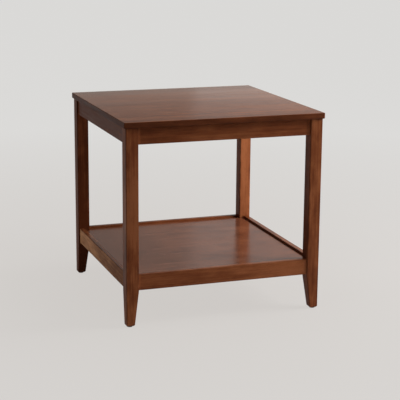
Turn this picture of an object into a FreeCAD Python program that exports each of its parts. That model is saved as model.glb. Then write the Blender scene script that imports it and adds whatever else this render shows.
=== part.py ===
import FreeCAD, Part
import math
import os

# End table with a lower shelf. Four square legs with tapered feet carry four aprons under the top and
# four rails round the shelf. Every apron and rail is dowelled into the legs. A corner block behind each
# top corner is screwed to the aprons, pulls the leg in with a hanger bolt and holds the top down.
# Origin: on the floor, under the middle of the top. +X runs along the front to the right, +Y to the back.
# Millimetres throughout.

# ---- Overall sizes ----
TABLE_WIDTH = 572.0
TABLE_DEPTH = 572.0
TABLE_HEIGHT = 560.0

# ---- Top ----
TOP_THICKNESS = 16.0
TOP_OVERHANG = 5.0            # past the outer faces of the legs
TOP_CORNER_RADIUS = 4.0       # seen from above
TOP_EDGE_RADIUS = 1.5         # upper arris
TOP_UNDER_BEVEL = 1.5         # lower arris

# ---- Legs ----
LEG_SIZE = 35.0
LEG_ARRIS_RADIUS = 2.0
TAPER_HEIGHT = 98.0           # the two inner faces taper from here down to the floor
FOOT_SIZE = 23.0              # width that the taper reaches at the floor
FOOT_BEVEL = 2.5              # round the bottom of the foot
LEG_FLAT = 7.0                # bevel on the inner corner, where the hanger bolt goes in

# ---- Aprons, under the top ----
APRON_HEIGHT = 45.0
APRON_THICKNESS = 18.0
APRON_RECESS = 4.5            # behind the outer faces of the legs
APRON_ARRIS_RADIUS = 1.5

# ---- Rails, round the shelf ----
RAIL_BOTTOM = 101.0           # above the floor
RAIL_HEIGHT = 45.0
RAIL_THICKNESS = 16.0
RAIL_RECESS = 4.5
RAIL_ARRIS_RADIUS = 2.0

# ---- Shelf and the cleats that it lies on ----
SHELF_THICKNESS = 12.0
SHELF_DROP = 6.0              # from the top of the rails down to the shelf
SHELF_GAP = 1.0               # all round, to the rails and the legs
SHELF_BEVEL = 0.8
CLEAT_WIDTH = 16.0
CLEAT_HEIGHT = 18.0
CLEAT_BEVEL = 2.0
CLEAT_END_GAP = 2.0

# ---- Dowels ----
DOWEL_DIAMETER = 8.0
DOWEL_BEVEL = 1.0
DOWEL_EDGE = 9.0              # from the upper or lower edge of an apron or rail to a dowel's axis
DOWEL_IN_APRON = 15.0
DOWEL_IN_RAIL = 14.0
DOWEL_CROSSING_GAP = 2.5      # between a dowel's end in the leg and the dowel that crosses before it
DOWEL_END_GAP = 1.0           # room for glue past each end
DOWEL_FIT = 0.05              # radial clearance in the hole

# ---- Corner blocks ----
BLOCK_THICKNESS = 20.0        # along the corner's diagonal
BLOCK_RISE = 9.0              # from the lower edge of the aprons up to the block
BLOCK_GAP = 3.0               # from the leg's flat to the block, so that the bolt can draw up

# ---- Hanger bolts, with their washers and nuts ----
BOLT_DIAMETER = 6.0
BOLT_WOOD_DIAMETER = 5.5      # the end that is screwed into the leg
BOLT_IN_LEG = 24.0
BOLT_TIP = 4.0
BOLT_PAST_NUT = 3.0
BOLT_HOLE_CLEARANCE = 0.4     # radial, in the block
NUT_ACROSS_FLATS = 10.0
NUT_HEIGHT = 5.0
NUT_BEVEL = 0.7
WASHER_DIAMETER = 18.0
WASHER_THICKNESS = 1.6
METAL_FIT = 0.05              # radial clearance of nut, washer and screw holes

# ---- Wood screws ----
SCREW_DIAMETER = 3.5
SCREW_HEAD_DIAMETER = 7.5
SCREW_TIP = 3.0
SCREW_END_GAP = 1.0           # the pilot hole goes this much deeper
POINT_RADIUS = 0.2            # of the blunt point of a screw, bolt or nail
TOP_SCREW_BITE = 10.0         # into the top
TOP_SCREW_SPREAD = 11.0       # to each side of the hanger bolt
TOP_SCREW_COUNTERBORE = 11.0  # deep, from below the block
BLOCK_SCREW_SEAT = 9.0        # block left under the head
BLOCK_SCREW_BITE = 11.0       # into the apron
CLEAT_SCREW_BITE = 9.0        # into the rail
CLEAT_SCREW_INSET = 40.0      # from the cleat's end to its outer screws
SHELF_SCREW_BITE = 7.0        # into the shelf
SHELF_SCREW_INSET = 110.0     # from the cleat's end

# ---- Glides, nailed under the feet ----
GLIDE_DIAMETER = 16.0
GLIDE_THICKNESS = 3.0
GLIDE_BEVEL = 0.8
NAIL_DIAMETER = 2.0
NAIL_HEAD_DIAMETER = 8.0
NAIL_HEAD_THICKNESS = 1.0
NAIL_LENGTH = 16.0            # from the head up into the leg

# ---- Small round parts and their holes are drawn with flat sides ----
DOWEL_SIDES = 8
SCREW_SIDES = 8
BOLT_SIDES = 10
GLIDE_SIDES = 16

CUT_MARGIN = 1.0              # by which a cutting solid stands out of what it cuts

# ---- Places that follow from the sizes ----
FRAME_WIDTH = TABLE_WIDTH - 2 * TOP_OVERHANG
FRAME_DEPTH = TABLE_DEPTH - 2 * TOP_OVERHANG
TOP_UNDERSIDE = TABLE_HEIGHT - TOP_THICKNESS
APRON_BOTTOM = TOP_UNDERSIDE - APRON_HEIGHT
APRON_MIDDLE = APRON_BOTTOM + APRON_HEIGHT / 2
APRON_AXIS = APRON_RECESS + APRON_THICKNESS / 2
APRON_INNER = APRON_RECESS + APRON_THICKNESS
RAIL_TOP = RAIL_BOTTOM + RAIL_HEIGHT
RAIL_AXIS = RAIL_RECESS + RAIL_THICKNESS / 2
RAIL_INNER = RAIL_RECESS + RAIL_THICKNESS
SHELF_TOP = RAIL_TOP - SHELF_DROP
SHELF_BOTTOM = SHELF_TOP - SHELF_THICKNESS
CLEAT_BOTTOM = SHELF_BOTTOM - CLEAT_HEIGHT
BLOCK_BOTTOM = APRON_BOTTOM + BLOCK_RISE
BLOCK_HEIGHT = TOP_UNDERSIDE - BLOCK_BOTTOM

# Along a corner's diagonal, from the leg's outer edge
FLAT_DISTANCE = (2 * LEG_SIZE - LEG_FLAT) / math.sqrt(2)
BLOCK_BACK = FLAT_DISTANCE + BLOCK_GAP
BLOCK_FRONT = BLOCK_BACK + BLOCK_THICKNESS

ORIGIN = FreeCAD.Vector(0, 0, 0)
X_AXIS = FreeCAD.Vector(1, 0, 0)
Y_AXIS = FreeCAD.Vector(0, 1, 0)
Z_AXIS = FreeCAD.Vector(0, 0, 1)
DIAGONAL = FreeCAD.Vector(1, 1, 0).normalize()

CORNERS = {"front_left": (-1, -1), "front_right": (1, -1), "back_left": (-1, 1), "back_right": (1, 1)}
SIDES = {"front": 0.0, "right": 90.0, "back": 180.0, "left": 270.0}


# ---- Placing ----
# A corner shape is drawn with the leg's outer edge on the Z axis and the table at +X and +Y.
# A side shape is drawn with its run along X, centred, the legs' outer faces at Y = 0 and the table at +Y.

def at_corner(shape, corner):
    to_right, to_back = CORNERS[corner]
    if to_right > 0:
        shape = shape.mirror(ORIGIN, X_AXIS)
    if to_back > 0:
        shape = shape.mirror(ORIGIN, Y_AXIS)
    return shape.translated(FreeCAD.Vector(to_right * FRAME_WIDTH / 2, to_back * FRAME_DEPTH / 2, 0))


def at_all_corners(shapes):
    return [at_corner(shape, corner) for corner in CORNERS for shape in shapes]


def swapped(shape):
    """The same corner shape for the other apron or rail of the corner."""
    return shape.mirror(ORIGIN, FreeCAD.Vector(1, -1, 0))


def both_ways(shapes):
    return shapes + [swapped(shape) for shape in shapes]


def span(side):
    return FRAME_WIDTH if side in ("front", "back") else FRAME_DEPTH


def at_side(shape, side):
    outer_face = (FRAME_DEPTH if side in ("front", "back") else FRAME_WIDTH) / 2
    return shape.translated(FreeCAD.Vector(0, -outer_face, 0)).rotated(ORIGIN, Z_AXIS, SIDES[side])


def at_both_ends(corner_shapes, side):
    """Corner shapes carried to the two ends of a side."""
    left = [shape.translated(FreeCAD.Vector(-span(side) / 2, 0, 0)) for shape in corner_shapes]
    return left + [shape.mirror(ORIGIN, X_AXIS) for shape in left]


def aimed(shape, point, direction):
    """A shape drawn from the origin along +Z, moved to a point and turned to a direction."""
    turn = FreeCAD.Rotation(Z_AXIS, direction)
    return shape.rotated(ORIGIN, turn.Axis, math.degrees(turn.Angle)).translated(point)


def on_diagonal(distance, height):
    return DIAGONAL * distance + Z_AXIS * height


# ---- Shapes ----

def rounded_wire(corners, height):
    """A closed outline through (x, y, radius) corners, at one height."""
    points = [FreeCAD.Vector(x, y, height) for x, y, radius in corners]
    edges = []
    ends = []
    for index, (x, y, radius) in enumerate(corners):
        corner = points[index]
        back = (points[index - 1] - corner).normalize()
        ahead = (points[(index + 1) % len(points)] - corner).normalize()
        half_angle = back.getAngle(ahead) / 2
        reach = radius / math.tan(half_angle)
        first, last = corner + back * reach, corner + ahead * reach
        if radius:
            inward = (back + ahead).normalize()
            middle = corner + inward * (radius / math.sin(half_angle) - radius)
            edges.append(Part.Arc(first, middle, last).toShape())
        ends.append((first, last))
    for index, (first, last) in enumerate(ends):
        following = ends[(index + 1) % len(ends)][0]
        edges.append(Part.LineSegment(last, following).toShape())
    return Part.Wire(Part.__sortEdges__(edges))


def rectangle(x0, y0, x1, y1, radius=0.0):
    return [(x0, y0, radius), (x1, y0, radius), (x1, y1, radius), (x0, y1, radius)]


def prism(corners, bottom, top):
    return Part.Face(rounded_wire(corners, bottom)).extrude(FreeCAD.Vector(0, 0, top - bottom))


def bar(length, section):
    """A bar along X, centred, from the (y, z, radius) corners of its section."""
    upright = prism(section, -length / 2, length / 2)
    return upright.rotated(ORIGIN, FreeCAD.Vector(1, 1, 1), 120)


def flat_face(points):
    return Part.Face(Part.makePolygon(points + points[:1]))


def stacked(rings):
    """A solid with flat faces, from rings of as many points each, going up."""
    faces = [flat_face(rings[0][::-1]), flat_face(rings[-1])]
    for lower, upper in zip(rings, rings[1:]):
        for index in range(len(lower)):
            faces.append(flat_face([lower[index - 1], lower[index], upper[index], upper[index - 1]]))
    return Part.Solid(Part.makeShell(faces))


def ring(radius, height, sides):
    turns = [2 * math.pi * step / sides for step in range(sides)]
    return [FreeCAD.Vector(radius * math.cos(turn), radius * math.sin(turn), height) for turn in turns]


def turned(profile, sides):
    """A round part about Z with flat sides, from the (radius, height) points of its profile, going up."""
    return stacked([ring(radius, height, sides) for radius, height in profile])


def edges_at(shape, height):
    return [edge for edge in shape.Edges
            if all(abs(vertex.Point.z - height) < 1e-6 for vertex in edge.Vertexes)]


# ---- Dowels ----

def dowel_in_leg(axis):
    """How far a dowel at this distance behind the leg's outer face may go before the one that crosses it."""
    return LEG_SIZE - axis - DOWEL_DIAMETER / 2 - DOWEL_CROSSING_GAP


def dowel(in_leg, in_bar):
    """A bevelled dowel, from its end in the leg to its end in the apron or rail."""
    radius, length = DOWEL_DIAMETER / 2, in_leg + in_bar
    return turned([(radius - DOWEL_BEVEL, 0), (radius, DOWEL_BEVEL), (radius, length - DOWEL_BEVEL),
                   (radius - DOWEL_BEVEL, length)], DOWEL_SIDES)


def dowels(axis, in_bar, bottom, height):
    """The upper and lower dowel of one joint, as corner shapes."""
    piece = dowel(dowel_in_leg(axis), in_bar)
    start = LEG_SIZE - dowel_in_leg(axis)
    return [aimed(piece, FreeCAD.Vector(start, axis, z), X_AXIS) for z in dowel_heights(bottom, height)]


def dowel_holes(axis, in_bar, bottom, height):
    radius = DOWEL_DIAMETER / 2 + DOWEL_FIT
    hole = turned([(radius, 0), (radius, dowel_in_leg(axis) + in_bar + 2 * DOWEL_END_GAP)], DOWEL_SIDES)
    start = LEG_SIZE - dowel_in_leg(axis) - DOWEL_END_GAP
    return [aimed(hole, FreeCAD.Vector(start, axis, z), X_AXIS) for z in dowel_heights(bottom, height)]


def dowel_heights(bottom, height):
    return [bottom + DOWEL_EDGE, bottom + height - DOWEL_EDGE]


APRON_JOINT = (APRON_AXIS, DOWEL_IN_APRON, APRON_BOTTOM, APRON_HEIGHT)
RAIL_JOINT = (RAIL_AXIS, DOWEL_IN_RAIL, RAIL_BOTTOM, RAIL_HEIGHT)


# ---- Wood screws ----

def wood_screw(length):
    """A countersunk screw, from its head's face at the origin to its tip."""
    radius, head = SCREW_DIAMETER / 2, SCREW_HEAD_DIAMETER / 2
    return turned([(head, 0), (radius, head - radius), (radius, length - SCREW_TIP), (POINT_RADIUS, length)],
                  SCREW_SIDES)


def screw_hole(length, counterbore=CUT_MARGIN):
    """What a screw takes out of the wood, with a straight bore above its head."""
    radius, head = SCREW_DIAMETER / 2 + METAL_FIT, SCREW_HEAD_DIAMETER / 2 + METAL_FIT
    return turned([(head, -counterbore), (head, 0), (radius, head - radius), (radius, length + SCREW_END_GAP)],
                  SCREW_SIDES)


def top_screw_places():
    """Heads of the two screws that go up through a corner block into the top, as corner points."""
    middle = on_diagonal((BLOCK_BACK + BLOCK_FRONT) / 2, BLOCK_BOTTOM + TOP_SCREW_COUNTERBORE)
    across = FreeCAD.Vector(1, -1, 0).normalize() * TOP_SCREW_SPREAD
    return [middle + across, middle - across]


TOP_SCREW_LENGTH = BLOCK_HEIGHT - TOP_SCREW_COUNTERBORE + TOP_SCREW_BITE


def top_screws():
    return [aimed(wood_screw(TOP_SCREW_LENGTH), place, Z_AXIS) for place in top_screw_places()]


def top_screw_holes():
    hole = screw_hole(TOP_SCREW_LENGTH, TOP_SCREW_COUNTERBORE + CUT_MARGIN)
    return [aimed(hole, place, Z_AXIS) for place in top_screw_places()]


def block_screw_place():
    """Head of the screw that goes from a corner block into an apron, half way along the joint."""
    sum_back, sum_front = BLOCK_BACK * math.sqrt(2), BLOCK_FRONT * math.sqrt(2)
    along = (sum_back + sum_front) / 2 - APRON_INNER
    return FreeCAD.Vector(along, APRON_INNER + BLOCK_SCREW_SEAT, APRON_MIDDLE)


BLOCK_SCREW_LENGTH = BLOCK_SCREW_SEAT + BLOCK_SCREW_BITE


def block_screw():
    return aimed(wood_screw(BLOCK_SCREW_LENGTH), block_screw_place(), -Y_AXIS)


def block_screw_hole():
    return aimed(screw_hole(BLOCK_SCREW_LENGTH, BLOCK_THICKNESS), block_screw_place(), -Y_AXIS)


# ---- Legs ----

def foot_width(height):
    return FOOT_SIZE + (LEG_SIZE - FOOT_SIZE) * height / TAPER_HEIGHT


def bolt_hole_in_leg():
    radius = BOLT_WOOD_DIAMETER / 2 + METAL_FIT
    hole = turned([(radius, 0), (radius, BOLT_IN_LEG + CUT_MARGIN)], BOLT_SIDES)
    return aimed(hole, on_diagonal(FLAT_DISTANCE - BOLT_IN_LEG, APRON_MIDDLE), DIAGONAL)


def leg_flat_cut():
    """The wedge that comes off the leg's inner corner over the height of the aprons."""
    reach = LEG_SIZE + CUT_MARGIN
    near = 2 * LEG_SIZE - LEG_FLAT - reach
    return prism([(near, reach, 0), (reach, near, 0), (reach, reach, 0)],
                 APRON_BOTTOM, TOP_UNDERSIDE + CUT_MARGIN)


def leg():
    """A leg as a corner shape: straight outer faces, inner faces that taper to the foot, eased arrises."""
    bottom = GLIDE_THICKNESS
    bevel_top = bottom + FOOT_BEVEL
    foot, whole = foot_width(bevel_top), rectangle(0, 0, LEG_SIZE, LEG_SIZE, LEG_ARRIS_RADIUS)
    sole = foot_width(bottom) - FOOT_BEVEL
    tapered = [rounded_wire(rectangle(FOOT_BEVEL, FOOT_BEVEL, sole, sole, LEG_ARRIS_RADIUS), bottom),
               rounded_wire(rectangle(0, 0, foot, foot, LEG_ARRIS_RADIUS), bevel_top),
               rounded_wire(whole, TAPER_HEIGHT)]
    blank = prism(whole, TAPER_HEIGHT, TOP_UNDERSIDE).fuse(Part.makeLoft(tapered, True, True))
    holes = both_ways(dowel_holes(*APRON_JOINT) + dowel_holes(*RAIL_JOINT))
    return blank.cut(holes + [leg_flat_cut(), bolt_hole_in_leg(), nail_hole()])


# ---- Aprons and rails ----

def apron(side):
    """An apron as a side shape, with its lower outer arris eased."""
    length = span(side) - 2 * LEG_SIZE
    board = bar(length, [(APRON_RECESS, APRON_BOTTOM, APRON_ARRIS_RADIUS),
                         (APRON_INNER, APRON_BOTTOM, APRON_ARRIS_RADIUS),
                         (APRON_INNER, TOP_UNDERSIDE, 0), (APRON_RECESS, TOP_UNDERSIDE, 0)])
    return board.cut(at_both_ends(dowel_holes(*APRON_JOINT) + [block_screw_hole()], side))


def rail(side):
    """A shelf rail as a side shape, with all four long arrises eased."""
    length = span(side) - 2 * LEG_SIZE
    board = bar(length, rectangle(RAIL_RECESS, RAIL_BOTTOM, RAIL_INNER, RAIL_TOP, RAIL_ARRIS_RADIUS))
    return board.cut(at_both_ends(dowel_holes(*RAIL_JOINT), side) + cleat_screw_holes(side))


# ---- Corner blocks and hanger bolts ----

def corner_block():
    """A block across the corner, mitred to lie against both aprons, as a corner shape."""
    back, front = BLOCK_BACK * math.sqrt(2) - APRON_INNER, BLOCK_FRONT * math.sqrt(2) - APRON_INNER
    block = prism([(back, APRON_INNER, 0), (front, APRON_INNER, 0),
                   (APRON_INNER, front, 0), (APRON_INNER, back, 0)], BLOCK_BOTTOM, TOP_UNDERSIDE)
    radius = BOLT_DIAMETER / 2 + BOLT_HOLE_CLEARANCE
    bolt_hole = turned([(radius, -CUT_MARGIN), (radius, BLOCK_THICKNESS + CUT_MARGIN)], BOLT_SIDES)
    holes = [aimed(bolt_hole, on_diagonal(BLOCK_BACK, APRON_MIDDLE), DIAGONAL)]
    return block.cut(holes + top_screw_holes() + both_ways([block_screw_hole()]))


def hanger_bolt():
    """Wood thread in the leg and machine thread through the block, as a corner shape."""
    wood, metal = BOLT_WOOD_DIAMETER / 2, BOLT_DIAMETER / 2
    length = (BLOCK_FRONT - FLAT_DISTANCE) + BOLT_IN_LEG + WASHER_THICKNESS + NUT_HEIGHT + BOLT_PAST_NUT
    bolt = turned([(POINT_RADIUS, 0), (wood, BOLT_TIP), (wood, BOLT_IN_LEG),
                   (metal, BOLT_IN_LEG + metal - wood), (metal, length)], BOLT_SIDES)
    return aimed(bolt, on_diagonal(FLAT_DISTANCE - BOLT_IN_LEG, APRON_MIDDLE), DIAGONAL)


def bolt_bore(thickness):
    radius = BOLT_DIAMETER / 2 + METAL_FIT
    return turned([(radius, -CUT_MARGIN), (radius, thickness + CUT_MARGIN)], BOLT_SIDES)


def washer():
    disc = turned([(WASHER_DIAMETER / 2, 0), (WASHER_DIAMETER / 2, WASHER_THICKNESS)], BOLT_SIDES)
    return aimed(disc.cut(bolt_bore(WASHER_THICKNESS)), on_diagonal(BLOCK_FRONT, APRON_MIDDLE), DIAGONAL)


def nut():
    """A hexagon nut with its outer edges bevelled."""
    corner_radius = NUT_ACROSS_FLATS / math.sqrt(3)
    hexagon = turned([(corner_radius, 0), (corner_radius, NUT_HEIGHT - NUT_BEVEL),
                      (corner_radius - NUT_BEVEL, NUT_HEIGHT)], 6)
    place = on_diagonal(BLOCK_FRONT + WASHER_THICKNESS, APRON_MIDDLE)
    return aimed(hexagon.cut(bolt_bore(NUT_HEIGHT)), place, DIAGONAL)


# ---- Top ----

def top_panel():
    half_width, half_depth = TABLE_WIDTH / 2, TABLE_DEPTH / 2
    outline = rectangle(-half_width, -half_depth, half_width, half_depth, TOP_CORNER_RADIUS)
    panel = prism(outline, TOP_UNDERSIDE, TABLE_HEIGHT)
    panel = panel.makeFillet(TOP_EDGE_RADIUS, edges_at(panel, TABLE_HEIGHT))
    panel = panel.makeChamfer(TOP_UNDER_BEVEL, edges_at(panel, TOP_UNDERSIDE))
    return panel.cut(at_all_corners(top_screw_holes()))


# ---- Shelf and cleats ----

def cleat_length(side):
    """The front and back cleats reach the legs, and the side cleats butt against them."""
    if side in ("front", "back"):
        end = LEG_SIZE
    else:
        end = max(LEG_SIZE, RAIL_INNER + CLEAT_WIDTH)
    return span(side) - 2 * end - 2 * CLEAT_END_GAP


def cleat_screw_places(side):
    """Heads of the screws that hold a cleat to its rail, as side points."""
    outer = cleat_length(side) / 2 - CLEAT_SCREW_INSET
    height = CLEAT_BOTTOM + CLEAT_HEIGHT / 2
    return [FreeCAD.Vector(x, RAIL_INNER + CLEAT_WIDTH, height) for x in (-outer, 0, outer)]


def shelf_screw_places(side):
    """Heads of the screws that go up through a cleat into the shelf, as side points."""
    outer = cleat_length(side) / 2 - SHELF_SCREW_INSET
    return [FreeCAD.Vector(x, RAIL_INNER + CLEAT_WIDTH / 2, CLEAT_BOTTOM) for x in (-outer, outer)]


CLEAT_SCREW_LENGTH = CLEAT_WIDTH + CLEAT_SCREW_BITE
SHELF_SCREW_LENGTH = CLEAT_HEIGHT + SHELF_SCREW_BITE


def cleat_screws(side):
    return [aimed(wood_screw(CLEAT_SCREW_LENGTH), place, -Y_AXIS) for place in cleat_screw_places(side)]


def cleat_screw_holes(side):
    return [aimed(screw_hole(CLEAT_SCREW_LENGTH), place, -Y_AXIS) for place in cleat_screw_places(side)]


def shelf_screws(side):
    return [aimed(wood_screw(SHELF_SCREW_LENGTH), place, Z_AXIS) for place in shelf_screw_places(side)]


def shelf_screw_holes(side):
    return [aimed(screw_hole(SHELF_SCREW_LENGTH), place, Z_AXIS) for place in shelf_screw_places(side)]


def cleat(side):
    """A batten under the shelf's edge, with its lower inner arris bevelled, as a side shape."""
    inner = RAIL_INNER + CLEAT_WIDTH
    batten = bar(cleat_length(side), [(RAIL_INNER, CLEAT_BOTTOM, 0), (inner - CLEAT_BEVEL, CLEAT_BOTTOM, 0),
                                      (inner, CLEAT_BOTTOM + CLEAT_BEVEL, 0), (inner, SHELF_BOTTOM, 0),
                                      (RAIL_INNER, SHELF_BOTTOM, 0)])
    return batten.cut(cleat_screw_holes(side) + shelf_screw_holes(side))


def shelf_panel():
    """A board notched round the legs, that drops in between the rails."""
    half_width = FRAME_WIDTH / 2 - RAIL_INNER - SHELF_GAP
    half_depth = FRAME_DEPTH / 2 - RAIL_INNER - SHELF_GAP
    notch = LEG_SIZE - RAIL_INNER
    board = prism(rectangle(-half_width, -half_depth, half_width, half_depth), SHELF_BOTTOM, SHELF_TOP)
    cut_size = notch + CUT_MARGIN
    notch_cut = Part.makeBox(cut_size, cut_size, SHELF_THICKNESS + 2 * CUT_MARGIN)
    start = RAIL_INNER + SHELF_GAP - CUT_MARGIN
    corner_cut = notch_cut.translated(FreeCAD.Vector(start, start, SHELF_BOTTOM - CUT_MARGIN))
    board = board.cut(at_all_corners([corner_cut]))
    board = board.makeChamfer(SHELF_BEVEL, edges_at(board, SHELF_TOP))
    holes = [at_side(hole, side) for side in SIDES for hole in shelf_screw_holes(side)]
    return board.cut(holes)


# ---- Glides ----

def glide_place(height):
    return FreeCAD.Vector(FOOT_SIZE / 2, FOOT_SIZE / 2, height)


def glide():
    """A nylon disc under the foot, with the nail's head let into its upper face, as a corner shape."""
    radius = GLIDE_DIAMETER / 2
    disc = turned([(radius - GLIDE_BEVEL, 0), (radius, GLIDE_BEVEL), (radius, GLIDE_THICKNESS)], GLIDE_SIDES)
    floor, head = GLIDE_THICKNESS - NAIL_HEAD_THICKNESS, NAIL_HEAD_DIAMETER / 2
    pocket = turned([(head, floor), (head, GLIDE_THICKNESS + CUT_MARGIN)], BOLT_SIDES)
    return disc.cut(pocket).translated(glide_place(0))


def nail():
    """The glide's nail, from its head up into the leg."""
    head, shank = NAIL_HEAD_DIAMETER / 2, NAIL_DIAMETER / 2
    disc = turned([(head, 0), (head, NAIL_HEAD_THICKNESS)], BOLT_SIDES)
    stem = turned([(shank, NAIL_HEAD_THICKNESS), (shank, NAIL_LENGTH - NAIL_DIAMETER),
                   (POINT_RADIUS, NAIL_LENGTH)], SCREW_SIDES)
    return disc.fuse(stem).translated(glide_place(GLIDE_THICKNESS - NAIL_HEAD_THICKNESS))


def nail_hole():
    radius = NAIL_DIAMETER / 2 + METAL_FIT
    hole = turned([(radius, -CUT_MARGIN), (radius, NAIL_LENGTH)], SCREW_SIDES)
    return hole.translated(glide_place(GLIDE_THICKNESS))


# ---- The whole table, node by node ----

def nodes():
    made = {"top_panel": top_panel(), "shelf_panel": shelf_panel()}
    leg_shape, block_shape, glide_shape = leg(), corner_block(), glide()
    for corner in CORNERS:
        made["leg_" + corner] = at_corner(leg_shape, corner)
        made["corner_block_" + corner] = at_corner(block_shape, corner)
        made["glide_" + corner] = at_corner(glide_shape, corner)
    for side in SIDES:
        made["apron_" + side] = at_side(apron(side), side)
        made["rail_" + side] = at_side(rail(side), side)
        made["cleat_" + side] = at_side(cleat(side), side)
    groups = {
        "apron_dowels": at_all_corners(both_ways(dowels(*APRON_JOINT))),
        "rail_dowels": at_all_corners(both_ways(dowels(*RAIL_JOINT))),
        "hanger_bolts": at_all_corners([hanger_bolt()]),
        "hanger_washers": at_all_corners([washer()]),
        "hanger_nuts": at_all_corners([nut()]),
        "top_screws": at_all_corners(top_screws()),
        "block_screws": at_all_corners(both_ways([block_screw()])),
        "cleat_screws": [at_side(screw, side) for side in SIDES for screw in cleat_screws(side)],
        "shelf_screws": [at_side(screw, side) for side in SIDES for screw in shelf_screws(side)],
        "glide_nails": at_all_corners([nail()]),
    }
    for name, solids in groups.items():
        made[name] = Part.makeCompound(solids)
    return made


os.makedirs("parts", exist_ok=True)
for node, shape in nodes().items():
    shape.exportStep("parts/" + node + ".step")
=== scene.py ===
import math

import bmesh
import bpy
import numpy
from mathutils import Matrix, Vector


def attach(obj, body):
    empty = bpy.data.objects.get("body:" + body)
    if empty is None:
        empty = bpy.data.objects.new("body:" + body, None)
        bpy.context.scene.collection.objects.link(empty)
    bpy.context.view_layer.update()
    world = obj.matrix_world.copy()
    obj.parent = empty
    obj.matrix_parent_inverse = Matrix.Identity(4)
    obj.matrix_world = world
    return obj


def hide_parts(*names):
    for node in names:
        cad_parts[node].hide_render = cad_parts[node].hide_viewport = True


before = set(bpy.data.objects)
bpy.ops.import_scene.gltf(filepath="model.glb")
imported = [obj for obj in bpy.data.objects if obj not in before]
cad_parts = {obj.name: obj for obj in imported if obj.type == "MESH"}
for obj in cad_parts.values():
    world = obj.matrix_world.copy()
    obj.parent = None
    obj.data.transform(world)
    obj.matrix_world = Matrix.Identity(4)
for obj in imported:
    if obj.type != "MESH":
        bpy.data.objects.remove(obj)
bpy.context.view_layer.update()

# ---- Legs ----
# Four square posts of solid rubberwood. The two inner faces taper to the foot below the shelf rails.
# They are stained a red brown, sprayed with satin lacquer, and dowelled to the aprons and rails.

mm = 0.001
CORNERS = ("front_left", "front_right", "back_left", "back_right")
FRAME_HALF = 281 * mm                    # from the middle to the legs' outer faces
LEG_SIZE = 35 * mm
FOOT_SIZE = 23 * mm
TAPER_HEIGHT = 98 * mm
GLIDE_THICKNESS = 3 * mm                 # the feet stand on glides
TOP_UNDERSIDE = 544 * mm

# The back left leg is darkened where the top shades it; the back right leg's top and the front left leg's
# middle are paled as painted light.
LEG_TONES_AND_PAINTED_LIGHT = {                            # painted light and shade up each leg, as (height, tone) stops
    "front_left": ((50 * mm, 0.30), (170 * mm, 0.00), (300 * mm, 0.45), (470 * mm, 0.10)),
    "front_right": ((60 * mm, -0.03), (170 * mm, -0.05), (330 * mm, 0.08), (470 * mm, 0.11)),
    "back_left": ((60 * mm, -0.5), (170 * mm, -0.45), (470 * mm, -0.3)),
    "back_right": ((60 * mm, 0.10), (200 * mm, 0.13), (470 * mm, 0.42)),
}
LEFT_FACE_SHADE = 0.22                        # painted shade: the left faces face away from the lamps
LEFT_FACING = -0.9                       # a corner of the mesh with a normal beyond this is on a left face

DARK_STAIN = (0.105, 0.026, 0.0085)
MID_STAIN = (0.185, 0.052, 0.018)
LIGHT_STAIN = (0.275, 0.090, 0.034)
# The rubbed stain also colours the painted light beside some joints.
RUBBED_STAIN_AND_PAINTED_LIGHT = (0.33, 0.105, 0.040)      # where sanding and spraying left the arrises thinner
PORE_STAIN = (0.045, 0.012, 0.005)
BANDS = (60 * mm, 1100 * mm)             # width and length, along the grain, of each figure of the wood
STREAKS = (6 * mm, 170 * mm)
FIBRES = (1.2 * mm, 40 * mm)
BLOTCHES = (22 * mm, 55 * mm)            # where the stain sank in deeper
PORES = (0.45 * mm, 7 * mm)
SWELLS = (22 * mm, 50 * mm)              # slow waves in sprayed lacquer
GLAZING_AND_SHADE_BAND = 4 * mm                      # in from an edge, the soft dark band of glazing and painted shade
GLAZING_AND_SHADE_LINE = 1.6 * mm                    # and the thin line beside the edge itself
PAST_ENDS = 50 * mm                      # wiped glazing and painted shade run on over a board's ends
BOUNCE_LIGHT_WIDTH = 8 * mm                       # painted light: boards paler beside a leg's bright side
ARRIS_WIDTH = 3 * mm                     # a face narrower than this is an eased arris
FLAT = 0.5                               # degrees: faces that turn less than this are one face
CREASE = 32                              # degrees: an edge sharper than this is kept crisp
SHARP = 40                               # degrees: an arris sharper than this is eased on sawn pieces,
SHORT = 4 * mm                           # unless it is shorter than this, as round a hole
WELD = 0.001 * mm                        # corners nearer than this are one


def shade(tree, kind, sockets=None, **settings):
    """One shader node, with its settings, and its sockets set to values or linked."""
    node = tree.nodes.new(kind)
    for name, value in settings.items():
        setattr(node, name, value)
    for name, value in (sockets or {}).items():
        if isinstance(value, bpy.types.NodeSocket):
            tree.links.new(value, node.inputs[name])
        else:
            node.inputs[name].default_value = value
    return node


def reckon(tree, operation, *values, clamp=False):
    """The result of one sum on numbers or sockets."""
    sockets = dict(enumerate(values))
    return shade(tree, "ShaderNodeMath", sockets, operation=operation, use_clamp=clamp).outputs[0]


def vary(tree, value, noise, amount):
    """A value that rises and falls with a noise, by this amount over the noise's whole range."""
    return reckon(tree, "MULTIPLY_ADD", reckon(tree, "SUBTRACT", noise, 0.5), amount, value)


def ranged(tree, value, low, high, at_low=0.0, at_high=1.0, **settings):
    """A value between two limits turned into another range, and held at its ends outside them."""
    return shade(tree, "ShaderNodeMapRange", {"Value": value, "From Min": low, "From Max": high,
                                              "To Min": at_low, "To Max": at_high}, **settings).outputs[0]


def blend(tree, amount, under, over):
    """One colour laid over another by this amount."""
    return shade(tree, "ShaderNodeMix", {"Factor": amount, "A": under, "B": over},
                 data_type="RGBA").outputs["Result"]


def new_finish(name):
    """A new material, with its node tree and its surface shader."""
    material = bpy.data.materials.new(name)
    material.use_nodes = True
    return material, material.node_tree, material.node_tree.nodes["Principled BSDF"]


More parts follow.
